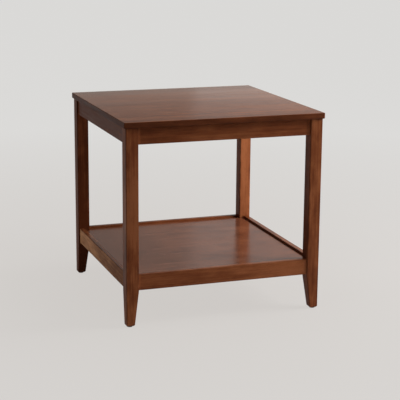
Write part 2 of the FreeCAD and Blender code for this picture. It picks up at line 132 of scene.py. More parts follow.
def fibre(tree, run, width, length, detail=3.0, start=0.0):
    """Noise drawn out along the grain, in streaks of about this width and length."""
    place = shade(tree, "ShaderNodeTexCoord").outputs["Object"]
    scale = [1 / length if axis == run else 1 / width for axis in "XYZ"]
    drawn = shade(tree, "ShaderNodeMapping", {"Vector": place, "Scale": scale, "Location": (start,) * 3})
    return shade(tree, "ShaderNodeTexNoise", {"Vector": drawn.outputs[0], "Scale": 1.0, "Detail": detail,
                                              "Roughness": 0.55}).outputs[0]


def stain_ramp(tree, tone, stains):
    """The stain's colour at each tone, from the darkest of the three to the lightest."""
    node = shade(tree, "ShaderNodeValToRGB", {"Fac": tone})
    ramp = node.color_ramp
    ramp.elements[0].position = 0.15
    ramp.elements[0].color = (*stains[0], 1)
    ramp.elements[1].position = 0.85
    ramp.elements[1].color = (*stains[2], 1)
    ramp.elements.new(0.5).color = (*stains[1], 1)
    return node.outputs[0]


def inside_board(tree):
    """How far a point lies inside its board's box, measured along each axis."""
    place = shade(tree, "ShaderNodeTexCoord").outputs["Object"]
    middle = shade(tree, "ShaderNodeAttribute", attribute_name="board_middle").outputs["Vector"]
    half = shade(tree, "ShaderNodeAttribute", attribute_name="board_half").outputs["Vector"]
    offset = shade(tree, "ShaderNodeVectorMath", {0: place, 1: middle}, operation="SUBTRACT").outputs[0]
    offset = shade(tree, "ShaderNodeVectorMath", {0: offset}, operation="ABSOLUTE").outputs[0]
    inside = shade(tree, "ShaderNodeVectorMath", {0: half, 1: offset}, operation="SUBTRACT").outputs[0]
    return shade(tree, "ShaderNodeSeparateXYZ", {"Vector": inside}).outputs


def edge_glazing_and_shade(tree, inside, blotches):
    """Glaze the rag left and painted shade near a board's edges. The middle of three distances is to an
    edge.
    """
    nearer = reckon(tree, "MINIMUM", inside[0], inside[1])
    farther = reckon(tree, "MAXIMUM", inside[0], inside[1])
    reach = reckon(tree, "MAXIMUM", nearer, reckon(tree, "MINIMUM", farther, inside[2]))
    # Partly painted shade, with the glazing: a soft dark band and a thin dark line along the edges.
    broad = ranged(tree, reach, 0.0, GLAZING_AND_SHADE_BAND, 1.0, 0.0, interpolation_type="SMOOTHSTEP")
    fine = ranged(tree, reach, 0.3 * mm, GLAZING_AND_SHADE_LINE, 0.6, 0.0)
    uneven = ranged(tree, blotches, 0.35, 0.65, 1.0, 0.35)
    return reckon(tree, "MULTIPLY", reckon(tree, "MAXIMUM", broad, fine), uneven)


def lacquer(tree, surface, fibres, streaks, pores, roughness, gloss, swell, ripple):
    """Sprayed lacquer, with the fibres and open pores showing through, and slow waves where it is thick."""
    sheen = vary(tree, vary(tree, roughness, fibres, 0.12), streaks, 0.3)
    sheen = reckon(tree, "MULTIPLY_ADD", pores, 0.08, sheen)
    tree.links.new(sheen, surface.inputs["Roughness"])
    surface.inputs["Specular IOR Level"].default_value = gloss
    relief = reckon(tree, "MULTIPLY_ADD", pores, -0.7, fibres)
    bump = shade(tree, "ShaderNodeBump", {"Height": relief, "Strength": 0.25, "Distance": 0.05 * mm})
    if ripple:
        flow = shade(tree, "ShaderNodeBump", {"Height": swell, "Distance": ripple})
        tree.links.new(flow.outputs[0], bump.inputs["Normal"])
    tree.links.new(bump.outputs[0], surface.inputs["Normal"])


def stained_wood(name, run, stains, roughness=0.5, gloss=0.06, figure=1.0, cloud=1.0, glaze_and_shade=0.4,
                 streak=STREAKS, patch=BLOTCHES, ripple=0.0, painted_bounce_light=0.0):
    """Stained, lacquered wood, its grain along one axis, darker at its edges and rubbed on its arrises.

    figure and cloud set how strongly the grain and the blotches show, glaze how dark the edges are
    from glazing and painted shade, and painted_bounce_light how strong the painted light beside the joints
    is.
    """
    material, tree, surface = new_finish(name)
    bands = fibre(tree, run, *BANDS, detail=2.0)
    streaks = fibre(tree, run, *streak, detail=4.0, start=3.0)
    fibres = fibre(tree, run, *FIBRES, start=7.0)
    blotches = fibre(tree, run, *patch, start=11.0)
    pores = ranged(tree, fibre(tree, run, *PORES, detail=1.0, start=17.0), 0.64, 0.74)

    tone = reckon(tree, "MULTIPLY_ADD", bands, 0.9 * figure, 0.5 - 0.45 * figure)
    tone = vary(tree, tone, streaks, 1.1 * figure)
    tone = vary(tree, tone, fibres, 0.7 * figure)
    tone = vary(tree, tone, blotches, 1.1 * cloud)
    # The board's tone, with painted light and shade put into it along some boards and on some faces.
    board = shade(tree, "ShaderNodeAttribute", attribute_name="tone_and_painted_light").outputs["Fac"]
    tint = stain_ramp(tree, reckon(tree, "ADD", tone, board), stains)
    tint = blend(tree, reckon(tree, "MULTIPLY", pores, 0.55), tint, (*PORE_STAIN, 1))
    inside = inside_board(tree)
    dark = edge_glazing_and_shade(tree, inside, blotches)
    tint = blend(tree, reckon(tree, "MULTIPLY", dark, glaze_and_shade), tint, (*PORE_STAIN, 1))
    # Painted light: a strip at each end of the board, beside the legs, is paled as if lit by the leg's
    # bright side.
    if painted_bounce_light:
        ends = ranged(tree, inside[run], PAST_ENDS + BOUNCE_LIGHT_WIDTH / 2, PAST_ENDS + BOUNCE_LIGHT_WIDTH, painted_bounce_light, 0.0)
        tint = blend(tree, ends, tint, (*RUBBED_STAIN_AND_PAINTED_LIGHT, 1))
    arris = shade(tree, "ShaderNodeAttribute", attribute_name="arris").outputs["Fac"]
    patchy = ranged(tree, streaks, 0.3, 0.7, 0.25, 0.8)
    tint = blend(tree, reckon(tree, "MULTIPLY", arris, patchy), tint, (*RUBBED_STAIN_AND_PAINTED_LIGHT, 1))
    tree.links.new(tint, surface.inputs["Base Color"])

    swell = fibre(tree, run, *SWELLS, detail=1.0, start=23.0) if ripple else None
    lacquer(tree, surface, fibres, streaks, pores, roughness, gloss, swell, ripple)
    return material


def smooth_shaded(work, crease=CREASE):
    """Round faces shaded smooth, with the sharper edges kept crisp."""
    for face in work.faces:
        face.smooth = True
    for edge in work.edges:
        edge.smooth = edge.is_manifold and edge.calc_face_angle() < math.radians(crease)


def placed(name, mesh):
    """A mesh put into the scene as a piece of its own."""
    piece = bpy.data.objects.new(name, mesh)
    bpy.context.scene.collection.objects.link(piece)
    return piece


def bench_copy(node, name, rubbed=1.0, ease=0.0, section=None, past_ends=0.0):
    """The node's sawn shape as one welded mesh, marked with its arrises and with where its edges lie."""
    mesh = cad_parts[node].data.copy()
    work = bmesh.new()
    work.from_mesh(mesh)
    bmesh.ops.remove_doubles(work, verts=work.verts, dist=WELD)
    bmesh.ops.dissolve_limit(work, angle_limit=math.radians(FLAT), verts=work.verts, edges=work.edges)
    if ease:
        sharp = [edge for edge in work.edges if edge.is_manifold and edge.is_convex
                 and edge.calc_face_angle() > math.radians(SHARP) and edge.calc_length() > SHORT]
        bmesh.ops.bevel(work, geom=sharp, affect="EDGES", offset=ease, segments=2, profile=0.5,
                        material=-1, clamp_overlap=True)
    low = Vector([min(vert.co[axis] for vert in work.verts) for axis in range(3)])
    high = Vector([max(vert.co[axis] for vert in work.verts) for axis in range(3)])
    middle, half = (low + high) / 2, (high - low) / 2
    longest = max(range(3), key=lambda axis: half[axis])
    half[longest] += past_ends
    marks = work.verts.layers.float.new("arris")
    work.verts.layers.float.new("tone_and_painted_light")
    middles = work.verts.layers.float_vector.new("board_middle")
    halves = work.verts.layers.float_vector.new("board_half")
    for vert in work.verts:
        widths = [face.calc_area() / max(edge.calc_length() for edge in face.edges)
                  for face in vert.link_faces]
        vert[marks] = rubbed if max(widths) < ARRIS_WIDTH else 0.0
        vert[middles], vert[halves] = section(vert.co) if section else (middle, half)
    smooth_shaded(work)
    work.to_mesh(mesh)
    work.free()
    mesh.materials.clear()
    return placed(name, mesh)


def grade(piece, axis, stops):
    """Stain taken up, and painted light and shade, along a board, as (place, tone) stops along one axis."""
    places, tones = zip(*stops)
    along = Vector([float(other == axis) for other in "XYZ"])
    work = bmesh.new()
    work.from_mesh(piece.data)
    for place in places:
        bmesh.ops.bisect_plane(work, geom=work.verts[:] + work.edges[:] + work.faces[:], dist=WELD,
                               plane_co=along * place, plane_no=along)
    layer = work.verts.layers.float["tone_and_painted_light"]
    for vert in work.verts:
        vert[layer] += float(numpy.interp(vert.co.dot(along), places, tones))
    work.to_mesh(piece.data)
    work.free()


def fit(piece, node, slot, *finishes):
    """The piece takes its node's place in the table, with its finishes; slot is not used."""
    for finish in finishes:
        piece.data.materials.append(finish)
    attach(piece, "root")
    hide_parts(node)


def leg_section(point):
    """The middle and the half size of a leg's section at this height, over the leg's whole length."""
    wide = FOOT_SIZE + (LEG_SIZE - FOOT_SIZE) * min(point.z / TAPER_HEIGHT, 1.0)
    reach = FRAME_HALF - wide / 2
    middle_height = (TOP_UNDERSIDE + GLIDE_THICKNESS) / 2
    half_length = (TOP_UNDERSIDE - GLIDE_THICKNESS) / 2
    middle = Vector((math.copysign(reach, point.x), math.copysign(reach, point.y), middle_height))
    return middle, Vector((wide / 2, wide / 2, half_length))


frame_stains = (DARK_STAIN, MID_STAIN, LIGHT_STAIN)
leg_finish = stained_wood("leg_stain", "Z", frame_stains, glaze_and_shade=0.8)
for corner in CORNERS:
    post = bench_copy("leg_" + corner, "tapered_leg_" + corner, rubbed=0.15, section=leg_section)
    grade(post, "Z", LEG_TONES_AND_PAINTED_LIGHT[corner])
    # Painted shade: the faces turned to the left are darkened.
    for vert, tone in zip(post.data.vertices, post.data.attributes["tone_and_painted_light"].data):
        if vert.normal.x < LEFT_FACING:
            tone.value -= LEFT_FACE_SHADE
    fit(post, "leg_" + corner, "leg_wood", leg_finish)

# ---- Aprons ----
# Four solid boards under the top, planed from the same rubberwood, with the lower arrises eased.
# Each end butts against a leg and is held by two glued dowels.

SIDES = ("front", "right", "back", "left")
RECESS = 4.5 * mm                        # from the legs' outer faces in to the aprons, and to the rails
APRON_HEIGHT = 45 * mm
APRON_THICKNESS = 18 * mm
APRON_BOTTOM = TOP_UNDERSIDE - APRON_HEIGHT
# The left apron is darkened as painted shade, more towards the back.
APRON_TONES_AND_SHADE = {                          # along each apron, as (place, tone) stops
    "front": ((-200 * mm, -0.08), (0, -0.01), (200 * mm, -0.09)),
    "right": ((-200 * mm, 0.05), (200 * mm, 0.0)),
    "back": ((-200 * mm, 0.0), (200 * mm, 0.05)),
    "left": ((-200 * mm, -0.22), (100 * mm, -0.7)),
}


def run_of(side):
    """The axis that a side's boards run along, with their grain."""
    return "X" if side in ("front", "back") else "Y"


frame_finish = {
    "X": stained_wood("cross_rail_stain", "X", frame_stains, figure=0.7, cloud=0.6, glaze_and_shade=0.25,
                      painted_bounce_light=0.4),
    "Y": stained_wood("side_rail_stain", "Y", frame_stains, glaze_and_shade=0.25, painted_bounce_light=0.4),
}
for side in SIDES:
    board = bench_copy("apron_" + side, "eased_apron_" + side, past_ends=PAST_ENDS)
    grade(board, run_of(side), APRON_TONES_AND_SHADE[side])
    fit(board, "apron_" + side, "rail_wood", frame_finish[run_of(side)])

# ---- Shelf rails ----
# Four solid rails round the shelf, level with each other, rounded on every long arris.
# They stand a little above the shelf, and two glued dowels hold each end in a leg. The left one is paler
# and yellower than the others, and paler still towards the back.

RAIL_BOTTOM = 101 * mm
RAIL_HEIGHT = 45 * mm
RAIL_THICKNESS = 16 * mm
# The front rail pales towards its right end as painted light from the right-hand lamps.
RAIL_TONES_AND_LIGHT = {                           # along each rail, as (place, tone) stops
    "front": ((-200 * mm, 0.05), (0, 0.08), (220 * mm, 0.28)),
    "right": ((-200 * mm, -0.05), (200 * mm, -0.10)),
    "back": ((-200 * mm, 0.0), (200 * mm, -0.10)),
    "left": ((-240 * mm, -0.25), (240 * mm, 0.28)),
}
FACES_UP = 0.7                           # a face with a normal beyond this gets the glossier finish

pale_rail_stains = ((0.21, 0.076, 0.028), (0.35, 0.150, 0.062), (0.53, 0.255, 0.120))
pale_rail_finish = stained_wood("pale_rail_stain", "Y", pale_rail_stains, gloss=0.02)
upper_finish = {
    "X": stained_wood("cross_rail_top", "X", frame_stains, roughness=0.22, gloss=0.45),
    "Y": stained_wood("side_rail_top", "Y", frame_stains, roughness=0.22, gloss=0.45),
}
for side in SIDES:
    board = bench_copy("rail_" + side, "eased_rail_" + side, past_ends=PAST_ENDS)
    grade(board, run_of(side), RAIL_TONES_AND_LIGHT[side])
    side_finish = pale_rail_finish if side == "left" else frame_finish[run_of(side)]
    fit(board, "rail_" + side, "rail_wood", side_finish, upper_finish[run_of(side)])
    for face in board.data.polygons:
        face.material_index = 1 if face.normal.z > FACES_UP else 0

# ---- Dowels ----
# Beech pins with bevelled ends, fluted so that the glue can spread. Two are glued into each end of every
# apron and shelf rail, one above the other, with about half of each pin in the leg.

CORNER_SIGNS = ((-1, -1), (1, -1), (-1, 1), (1, 1))
DOWEL_RADIUS = 4 * mm
DOWEL_LENGTH = 30 * mm
DOWEL_BEVEL = 1 * mm
DOWEL_EDGE = 9 * mm                      # from an apron's or rail's upper or lower edge to a dowel's axis
DOWEL_IN_APRON = 15 * mm
DOWEL_IN_RAIL = 14 * mm
FLUTES = 16
FLUTE_ROOT = 0.93                        # what a flute leaves of the radius
BEECH = ((0.42, 0.27, 0.15), (0.52, 0.36, 0.21), (0.62, 0.45, 0.28))


def turned(work, profile, sides):
    """A round part about Z, spun from the (radius, height) points of its profile."""
    points = [work.verts.new((radius, 0, height)) for radius, height in profile]
    lines = [work.edges.new(pair) for pair in zip(points, points[1:])]
    bmesh.ops.spin(work, geom=points + lines, cent=(0, 0, 0), axis=(0, 0, 1), angle=math.tau, steps=sides,
                   use_merge=True)
    bmesh.ops.remove_doubles(work, verts=work.verts, dist=WELD)


def pattern_of(work, name, crease=CREASE):
    """The finished small part as a mesh that can be copied, with its faces outwards."""
    bmesh.ops.recalc_face_normals(work, faces=work.faces)
    smooth_shaded(work, crease)
    mesh = bpy.data.meshes.new(name)
    work.to_mesh(mesh)
    work.free()
    return mesh


def set_out(name, pattern, places):
    """One piece from copies of a small part, each starting at a point and running in a direction."""
    work = bmesh.new()
    for point, direction in places:
        made = len(work.verts)
        work.from_mesh(pattern)
        work.verts.ensure_lookup_table()
        turn = Vector((0, 0, 1)).rotation_difference(Vector(direction)).to_matrix().to_4x4()
        bmesh.ops.transform(work, matrix=Matrix.Translation(point) @ turn, verts=work.verts[made:])
    mesh = bpy.data.meshes.new(name)
    work.to_mesh(mesh)
    work.free()
    return placed(name, mesh)


def dowel_places(bar_thickness, in_bar, bottom, height):
    """The two dowels at each end of every bar, starting in the leg and running into the bar."""
    start = FRAME_HALF - (LEG_SIZE + in_bar - DOWEL_LENGTH)
    line = FRAME_HALF - (RECESS + bar_thickness / 2)
    places = []
    for x, y in CORNER_SIGNS:
        for level in (bottom + DOWEL_EDGE, bottom + height - DOWEL_EDGE):
            places.append((Vector((x * start, y * line, level)), (-x, 0, 0)))
            places.append((Vector((x * line, y * start, level)), (0, -y, 0)))
    return places


bare_beech = stained_wood("bare_beech", "Z", BEECH, roughness=0.6)
work = bmesh.new()
turned(work, [(0, 0), (DOWEL_RADIUS - DOWEL_BEVEL, 0), (DOWEL_RADIUS, DOWEL_BEVEL),
              (DOWEL_RADIUS, DOWEL_LENGTH - DOWEL_BEVEL), (DOWEL_RADIUS - DOWEL_BEVEL, DOWEL_LENGTH),
              (0, DOWEL_LENGTH)], sides=2 * FLUTES)
for vert in work.verts:
    step = round(math.atan2(vert.co.y, vert.co.x) / (math.tau / (2 * FLUTES)))
    on_the_round = vert.co.xy.length > DOWEL_RADIUS - DOWEL_BEVEL / 2
    if step % 2 and on_the_round:
        bmesh.ops.scale(work, vec=(FLUTE_ROOT, FLUTE_ROOT, 1), verts=[vert])
dowel = pattern_of(work, "dowel", crease=8)
fit(set_out("fluted_apron_dowels", dowel,
            dowel_places(APRON_THICKNESS, DOWEL_IN_APRON, APRON_BOTTOM, APRON_HEIGHT)),
    "apron_dowels", "dowel_wood", bare_beech)
fit(set_out("fluted_rail_dowels", dowel,
            dowel_places(RAIL_THICKNESS, DOWEL_IN_RAIL, RAIL_BOTTOM, RAIL_HEIGHT)),
    "rail_dowels", "dowel_wood", bare_beech)

# ---- Corner blocks ----
# Mitred blocks of plain rubberwood that hold each top corner square. They are sawn, thinly stained and
# screwed to the aprons, out of sight under the top.

SAWN_ARRIS = 0.4 * mm
thin_stains = ((0.21, 0.095, 0.042), (0.30, 0.150, 0.070), (0.38, 0.205, 0.105))
sawn_finish = {
    "X": stained_wood("thin_stain_x", "X", thin_stains, roughness=0.62),
    "Y": stained_wood("thin_stain_y", "Y", thin_stains, roughness=0.62),
}
for corner in CORNERS:
    block = bench_copy("corner_block_" + corner, "sawn_corner_block_" + corner, ease=SAWN_ARRIS)
    fit(block, "corner_block_" + corner, "block_wood", sawn_finish["X"])

# ---- Hanger bolts ----
# One through each corner block: a wood thread that is driven into the leg's inner corner, and an M6 thread
# that stands out of the block. Rolled from steel wire and zinc plated.

LEG_FLAT = 7 * mm                        # bevel on the leg's inner corner, where the bolt goes in
BLOCK_GAP = 3 * mm                       # from that bevel to the block, so that the bolt can draw up
BLOCK_THICKNESS = 20 * mm                # along the corner's diagonal
LEG_FLAT_AT = (2 * LEG_SIZE - LEG_FLAT) / math.sqrt(2)    # along the diagonal, from the leg's outer edge
BLOCK_BACK_AT = LEG_FLAT_AT + BLOCK_GAP
BLOCK_FRONT_AT = BLOCK_BACK_AT + BLOCK_THICKNESS
APRON_MIDDLE = APRON_BOTTOM + APRON_HEIGHT / 2
BOLT_IN_LEG = 24 * mm
BOLT_LENGTH = 56.6 * mm
WOOD_CORE = 2.0 * mm                     # radii, under the wood thread,
COLLAR = 2.75 * mm                       # of the plain collar between the threads,
METRIC_CORE = 2.45 * mm                  # and under the M6 thread
M6_RADIUS = 3 * mm
THREAD_SUNK = 0.05 * mm                  # a thread's ridge starts this far inside its core
STEPS_PER_TURN = 14


def plated(name, colour, tarnish, roughness):
    """Zinc-plated steel, with cloudy passivation, and specks of grime that are duller and darker."""
    material, tree, surface = new_finish(name)
    place = shade(tree, "ShaderNodeTexCoord").outputs["Object"]
    clouds = shade(tree, "ShaderNodeTexNoise", {"Vector": place, "Scale": 260.0, "Detail": 4.0}).outputs[0]
    specks = shade(tree, "ShaderNodeTexNoise", {"Vector": place, "Scale": 2600.0, "Detail": 2.0}).outputs[0]
    tint = blend(tree, ranged(tree, clouds, 0.42, 0.68), (*colour, 1), (*tarnish, 1))
    dust = ranged(tree, specks, 0.55, 0.8, 0.0, 0.35)
    tint = blend(tree, dust, tint, (0.09, 0.075, 0.06, 1))
    tree.links.new(tint, surface.inputs["Base Color"])
    dull = reckon(tree, "MULTIPLY_ADD", clouds, 0.3, roughness - 0.15)
    tree.links.new(reckon(tree, "MULTIPLY_ADD", dust, 0.4, dull), surface.inputs["Roughness"])
    bump = shade(tree, "ShaderNodeBump", {"Height": specks, "Strength": 0.2, "Distance": 0.02 * mm})
    tree.links.new(bump.outputs[0], surface.inputs["Normal"])
    surface.inputs["Metallic"].default_value = 1.0
    return material


def thread(work, root, crest, pitch, start, end, taper=0.0):
    """A ridge wound round Z from one height to another, faded at its ends, and thinner over the taper."""
    foot = 0.42 * pitch
    runout = 0.6 * pitch
    section = [work.verts.new(point) for point in ((root, 0, start - foot), (crest, 0, start),
                                                   (root, 0, start + foot))]
    ridge = work.faces.new(section)
    steps = round((end - start) / pitch * STEPS_PER_TURN)
    known = set(work.verts) - set(section)
    bmesh.ops.spin(work, geom=section + ridge.edges[:] + [ridge], cent=(0, 0, 0), axis=(0, 0, 1),
                   dvec=(0, 0, pitch / STEPS_PER_TURN), angle=math.tau * steps / STEPS_PER_TURN,
                   steps=steps)
    for vert in set(work.verts) - known:
        radius = vert.co.xy.length
        fade = min(1.0, (vert.co.z - start + runout) / pitch, (end - vert.co.z + runout) / pitch)
        on_the_crest = radius > root * 1.02
        if on_the_crest:
            slim = (root + (radius - root) * max(fade, 0.1)) / radius
            bmesh.ops.scale(work, vec=(slim, slim, 1), verts=[vert])
        if taper and vert.co.z > end - taper:
            slim = max(0.12, (end + 0.3 * pitch - vert.co.z) / taper)
            bmesh.ops.scale(work, vec=(slim, slim, 1), verts=[vert])


def along_diagonal(distance, height):
    """A point in each corner at a distance in from the leg's outer edge, with the way to the middle."""
    reach = FRAME_HALF - distance / math.sqrt(2)
    return [(Vector((x * reach, y * reach, height)), Vector((-x, -y, 0)).normalized())
            for x, y in CORNER_SIGNS]


zinc = plated("bright_zinc", colour=(0.60, 0.61, 0.62), tarnish=(0.47, 0.47, 0.46), roughness=0.34)
work = bmesh.new()
turned(work, [(0, 0), (0.5 * mm, 0.3 * mm), (WOOD_CORE, 4 * mm), (WOOD_CORE, 23 * mm),
              (COLLAR, BOLT_IN_LEG), (COLLAR, 25 * mm), (METRIC_CORE, 25.5 * mm),
              (METRIC_CORE, 55.9 * mm), (2.1 * mm, BOLT_LENGTH), (0, BOLT_LENGTH)], sides=20)
thread(work, root=WOOD_CORE - THREAD_SUNK, crest=COLLAR, pitch=2.2 * mm, start=3.2 * mm, end=22 * mm)
thread(work, root=METRIC_CORE - THREAD_SUNK, crest=M6_RADIUS, pitch=1 * mm, start=26 * mm, end=55.8 * mm)
bolts = set_out("threaded_hanger_bolts", pattern_of(work, "hanger_bolt"),
                along_diagonal(LEG_FLAT_AT - BOLT_IN_LEG, APRON_MIDDLE))
fit(bolts, "hanger_bolts", "plated_steel", zinc)

# ---- Washers ----
# A wide flat washer on each hanger bolt, stamped from steel strip and zinc plated, that spreads the nut's
# pull on the softer wood of the block. Its punched edges are slightly rounded on one side.

WASHER_THICKNESS = 1.6 * mm
WASHER_HOLE = 3.1 * mm                   # radii
WASHER_RIM = 9.0 * mm
work = bmesh.new()
turned(work, [(WASHER_HOLE, 0), (8.9 * mm, 0), (WASHER_RIM, 0.1 * mm), (WASHER_RIM, 1.3 * mm),
              (8.7 * mm, WASHER_THICKNESS), (3.3 * mm, WASHER_THICKNESS), (WASHER_HOLE, 1.4 * mm),
              (WASHER_HOLE, 0)], sides=32)
washers = set_out("stamped_washers", pattern_of(work, "washer"),
                  along_diagonal(BLOCK_FRONT_AT, APRON_MIDDLE))
fit(washers, "hanger_washers", "plated_steel", zinc)

# ---- Nuts ----
# A plain M6 hexagon nut of zinc-plated steel on each hanger bolt, turned down on its corners.
# Tightened against the washer, it draws the leg into the corner.

NUT_ACROSS_FLATS = 10 * mm
NUT_HEIGHT = 5 * mm
NUT_BORE = 2.75 * mm                     # radii
NUT_FACE = 4.8 * mm
NUT_CORNER = 5.77 * mm
work = bmesh.new()
turned(work, [(NUT_BORE, 0.5 * mm), (3.2 * mm, 0), (NUT_FACE, 0), (NUT_CORNER, 0.35 * mm),
              (NUT_CORNER, 4.4 * mm), (NUT_FACE, NUT_HEIGHT), (3.2 * mm, NUT_HEIGHT), (NUT_BORE, 4.5 * mm),
              (NUT_BORE, 0.5 * mm)], sides=48)
for flat in range(6):
    out = Vector((math.cos(flat * math.pi / 3), math.sin(flat * math.pi / 3), 0))
    cut = bmesh.ops.bisect_plane(work, geom=work.verts[:] + work.edges[:] + work.faces[:], dist=WELD,
                                 plane_co=out * NUT_ACROSS_FLATS / 2, plane_no=out, clear_outer=True)
    rim = [part for part in cut["geom_cut"] if isinstance(part, bmesh.types.BMEdge)]
    bmesh.ops.contextual_create(work, geom=rim)
nuts = set_out("hexagon_nuts", pattern_of(work, "nut", crease=25),
               along_diagonal(BLOCK_FRONT_AT + WASHER_THICKNESS, APRON_MIDDLE))
fit(nuts, "hanger_nuts", "plated_steel", zinc)

# ---- Block screws ----
# Two through each corner block, one into each apron, with their heads sunk in holes bored from the block's
# inner face. Countersunk 3.5 x 20 mm wood screws, with a cross recess and a coarse thread, plated with
# yellow zinc.

SCREW_RADIUS = 1.75 * mm
SCREW_CORE = 1.25 * mm
SCREW_HEAD_RADIUS = 3.75 * mm
CROSS_QUARTER = ((2.15 * mm, -0.5 * mm), (2.15 * mm, 0.5 * mm), (0.8 * mm, 0.8 * mm))
CROSS_DEPTH = 1.9 * mm
CROSS_FLOOR = 0.42                       # the recess's size at its floor, over its size at the head
BLOCK_SCREW_SEAT = 9 * mm                # block left under the head
APRON_INNER = RECESS + APRON_THICKNESS
yellow_zinc = plated("yellow_zinc", colour=(0.52, 0.42, 0.21), tarnish=(0.42, 0.36, 0.24), roughness=0.38)


def wood_screw(length):
    """A countersunk screw from the middle of its head's face up Z to its tip."""
    work = bmesh.new()
    turned(work, [(3.6 * mm, 0), (SCREW_HEAD_RADIUS, 0.12 * mm), (1.7 * mm, 2.2 * mm),
                  (SCREW_CORE, 3.2 * mm), (SCREW_CORE, length - 3.5 * mm), (0.12 * mm, length - 0.1 * mm),
                  (0, length)], sides=20)
    rim = [edge for edge in work.edges if edge.is_boundary]
    outline = []
    for quarter in range(4):
        turn = Matrix.Rotation(quarter * math.pi / 2, 3, "Z")
        outline += [work.verts.new(turn @ Vector((x, y, 0))) for x, y in CROSS_QUARTER]
    wings = [work.edges.new((outline[index - 1], outline[index])) for index in range(len(outline))]
    bmesh.ops.triangle_fill(work, edges=rim + wings, use_beauty=True)
    sunk = bmesh.ops.extrude_edge_only(work, edges=wings)["geom"]
    floor = [part for part in sunk if isinstance(part, bmesh.types.BMVert)]
    bmesh.ops.translate(work, vec=(0, 0, CROSS_DEPTH), verts=floor)
    bmesh.ops.scale(work, vec=(CROSS_FLOOR, CROSS_FLOOR, 1), verts=floor)
    bmesh.ops.contextual_create(work, geom=[part for part in sunk if isinstance(part, bmesh.types.BMEdge)
                                            and set(part.verts) <= set(floor)])
    thread(work, root=SCREW_CORE - 0.1 * mm, crest=SCREW_RADIUS, pitch=1.6 * mm, start=5 * mm,
           end=length - 0.8 * mm, taper=3 * mm)
    return pattern_of(work, "wood_screw_%d" % round(length / mm))


def block_screw_places():
    """Two places in each block, halfway through it along each apron, heading into the aprons."""
    across = FRAME_HALF - APRON_INNER - BLOCK_SCREW_SEAT
    along = FRAME_HALF + APRON_INNER - (BLOCK_BACK_AT + BLOCK_FRONT_AT) / math.sqrt(2)
    places = []
    for x, y in CORNER_SIGNS:
        places.append((Vector((x * along, y * across, APRON_MIDDLE)), (0, y, 0)))
        places.append((Vector((x * across, y * along, APRON_MIDDLE)), (x, 0, 0)))
    return places


block_screws = set_out("cross_recessed_block_screws", wood_screw(20 * mm), block_screw_places())
fit(block_screws, "block_screws", "screw_steel", yellow_zinc)

# ---- Cleats ----
# Battens screwed to the rails, that the shelf lies on. The front and back ones reach from leg to leg, and
# the side ones fit between them. Sawn rubberwood, thinly stained, with the lower inner arris taken off.

SHELF_BOTTOM = 128 * mm
CLEAT_WIDTH = 16 * mm
CLEAT_HEIGHT = 18 * mm
CLEAT_END_GAP = 2 * mm
CLEAT_OUTER = RECESS + RAIL_THICKNESS    # from the legs' outer faces
CLEAT_INNER = CLEAT_OUTER + CLEAT_WIDTH
CLEAT_REACH = {                          # from the middle to the cleats' ends, by the axis they run along
    "X": FRAME_HALF - LEG_SIZE - CLEAT_END_GAP,
    "Y": FRAME_HALF - CLEAT_INNER - CLEAT_END_GAP,
}
for side in SIDES:
    batten = bench_copy("cleat_" + side, "sawn_cleat_" + side, ease=SAWN_ARRIS)
    fit(batten, "cleat_" + side, "block_wood", sawn_finish[run_of(side)])

# ---- Cleat screws ----
# Three through each cleat into its rail, flush with the cleat's inner face. The screws are those of the
# corner blocks, 25 mm long.

CLEAT_SCREW_INSET = 40 * mm              # from the cleat's end to its outer screws
screw_25 = wood_screw(25 * mm)


def cleat_places(line, inset, height, with_middle, direction=None):
    """Places on all four cleats, on a line in from the legs' outer faces, heading outwards or as told."""
    steps = (0, -1, 1) if with_middle else (-1, 1)
    places = []
    for sign in (-1, 1):
        for step in steps:
            offset = step * (CLEAT_REACH["X"] - inset)
            places.append((Vector((offset, sign * (FRAME_HALF - line), height)), direction or (0, sign, 0)))
        for step in steps:
            offset = step * (CLEAT_REACH["Y"] - inset)
            places.append((Vector((sign * (FRAME_HALF - line), offset, height)), direction or (sign, 0, 0)))
    return places


cleat_screws = set_out("cross_recessed_cleat_screws", screw_25,
                       cleat_places(CLEAT_INNER, CLEAT_SCREW_INSET, SHELF_BOTTOM - CLEAT_HEIGHT / 2, True))
fit(cleat_screws, "cleat_screws", "screw_steel", yellow_zinc)

# ---- Shelf ----
# A 12 mm veneered board, notched round the legs, that drops in between the rails onto the cleats.
# It has solid lippings round its edges and a plain backing below, stained to match the frame.

# Painted light: the shelf is paled on its left, where the top shades it.
SHELF_PAINTED_LIGHT = ((-250 * mm, 0.42), (100 * mm, 0.12), (250 * mm, 0.08))    # along it, as (place, tone) stops
LEVEL = 0.9                              # a face with a normal beyond this, up or down, is level
shelf_stains = ((0.098, 0.030, 0.015), (0.140, 0.044, 0.021), (0.195, 0.066, 0.032))
panel_stains = ((0.115, 0.033, 0.012), (0.162, 0.049, 0.019), (0.220, 0.074, 0.031))     # also for the top
lipping_stains = ((0.065, 0.017, 0.006), (0.098, 0.027, 0.010), (0.15, 0.043, 0.016))
side_lipping_stains = ((0.045, 0.013, 0.006), (0.070, 0.020, 0.009), (0.110, 0.030, 0.013))


def lay_panel(panel, node, slot, veneer):
    """Veneer on the upper face, lippings that run along their own edges, and backing on the lower face."""
    fit(panel, node, slot, veneer, lipping_x, lipping_y, backing)
    for face in panel.data.polygons:
        if face.normal.z > LEVEL:
            face.material_index = 0
        elif face.normal.z < -LEVEL:
            face.material_index = 3
        else:
            face.material_index = 1 if abs(face.normal.y) > abs(face.normal.x) else 2


